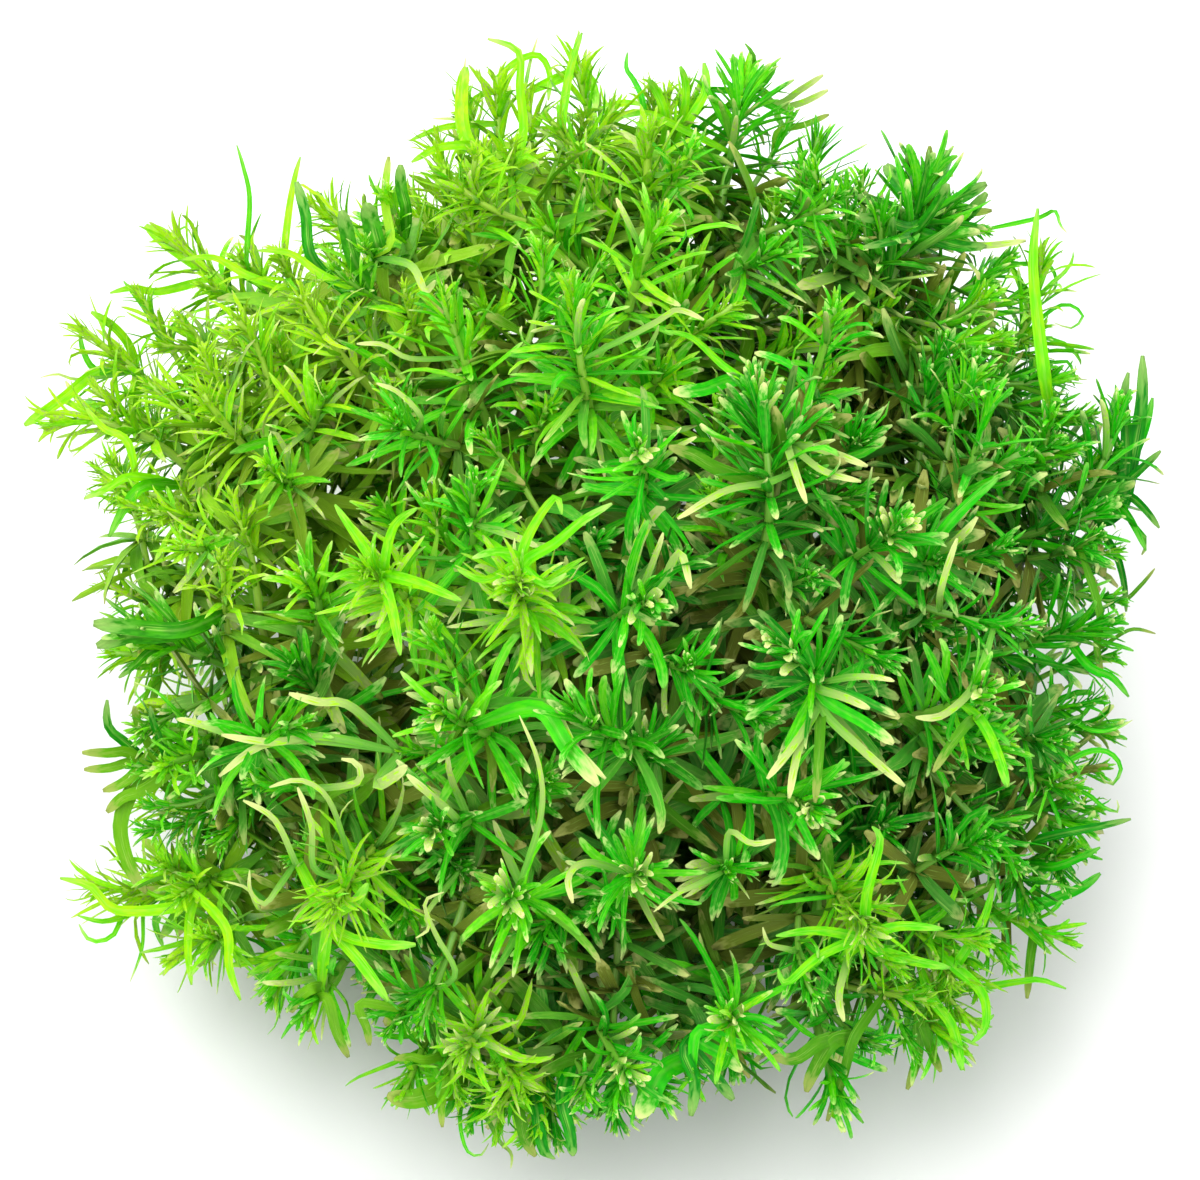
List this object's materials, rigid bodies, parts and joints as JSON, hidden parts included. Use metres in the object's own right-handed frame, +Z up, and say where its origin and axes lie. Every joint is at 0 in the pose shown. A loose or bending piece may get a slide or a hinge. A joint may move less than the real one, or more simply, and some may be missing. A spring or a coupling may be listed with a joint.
{
  "type": "rotala bunch",
  "caption": "Dense rounded bunch of rotala, an aquarium stem plant with narrow green leaves in whorls, standing on its cut stem ends.",
  "frame": {"origin": "on the ground, at the bottom centre of the bunch's box, among the cut stem ends", "axes": "+Z up, +X to the right as the bunch is seen from its front, the front faces -Y"},
  "size_m": [0.1066, 0.1118, 0.0652],
  "materials": {
    "lime_leaf": "satin",
    "green_leaf": "satin",
    "deep_leaf": "satin"
  },
  "bodies": {
    "root": {"stem_01": "lime_leaf", "stem_02": "green_leaf", "stem_03": "green_leaf", "stem_04": "green_leaf", "stem_05": "deep_leaf", "stem_06": "lime_leaf", "stem_07": "lime_leaf", "stem_08": "lime_leaf", "stem_09": "lime_leaf", "stem_10": "green_leaf", "stem_11": "green_leaf", "stem_12": "deep_leaf", "stem_13": "deep_leaf", "stem_14": "deep_leaf", "stem_15": "green_leaf", "stem_16": "green_leaf", "stem_17": "deep_leaf", "stem_18": "deep_leaf", "stem_19": "deep_leaf", "stem_20": "deep_leaf", "stem_21": "deep_leaf", "stem_22": "green_leaf", "stem_23": "green_leaf", "stem_24": "lime_leaf", "stem_25": "lime_leaf", "stem_26": "green_leaf", "stem_27": "green_leaf", "stem_28": "deep_leaf", "stem_29": "deep_leaf", "stem_30": "deep_leaf", "stem_31": "deep_leaf", "stem_32": "deep_leaf", "stem_33": "deep_leaf", "stem_34": "deep_leaf", "stem_35": "green_leaf", "stem_36": "lime_leaf", "stem_37": "lime_leaf", "stem_38": "green_leaf", "stem_39": "lime_leaf", "stem_40": "deep_leaf", "stem_41": "deep_leaf", "stem_42": "lime_leaf", "stem_43": "lime_leaf", "stem_44": "green_leaf", "stem_45": "deep_leaf", "stem_46": "green_leaf", "stem_47": "deep_leaf"}
  },
  "joints": []
}
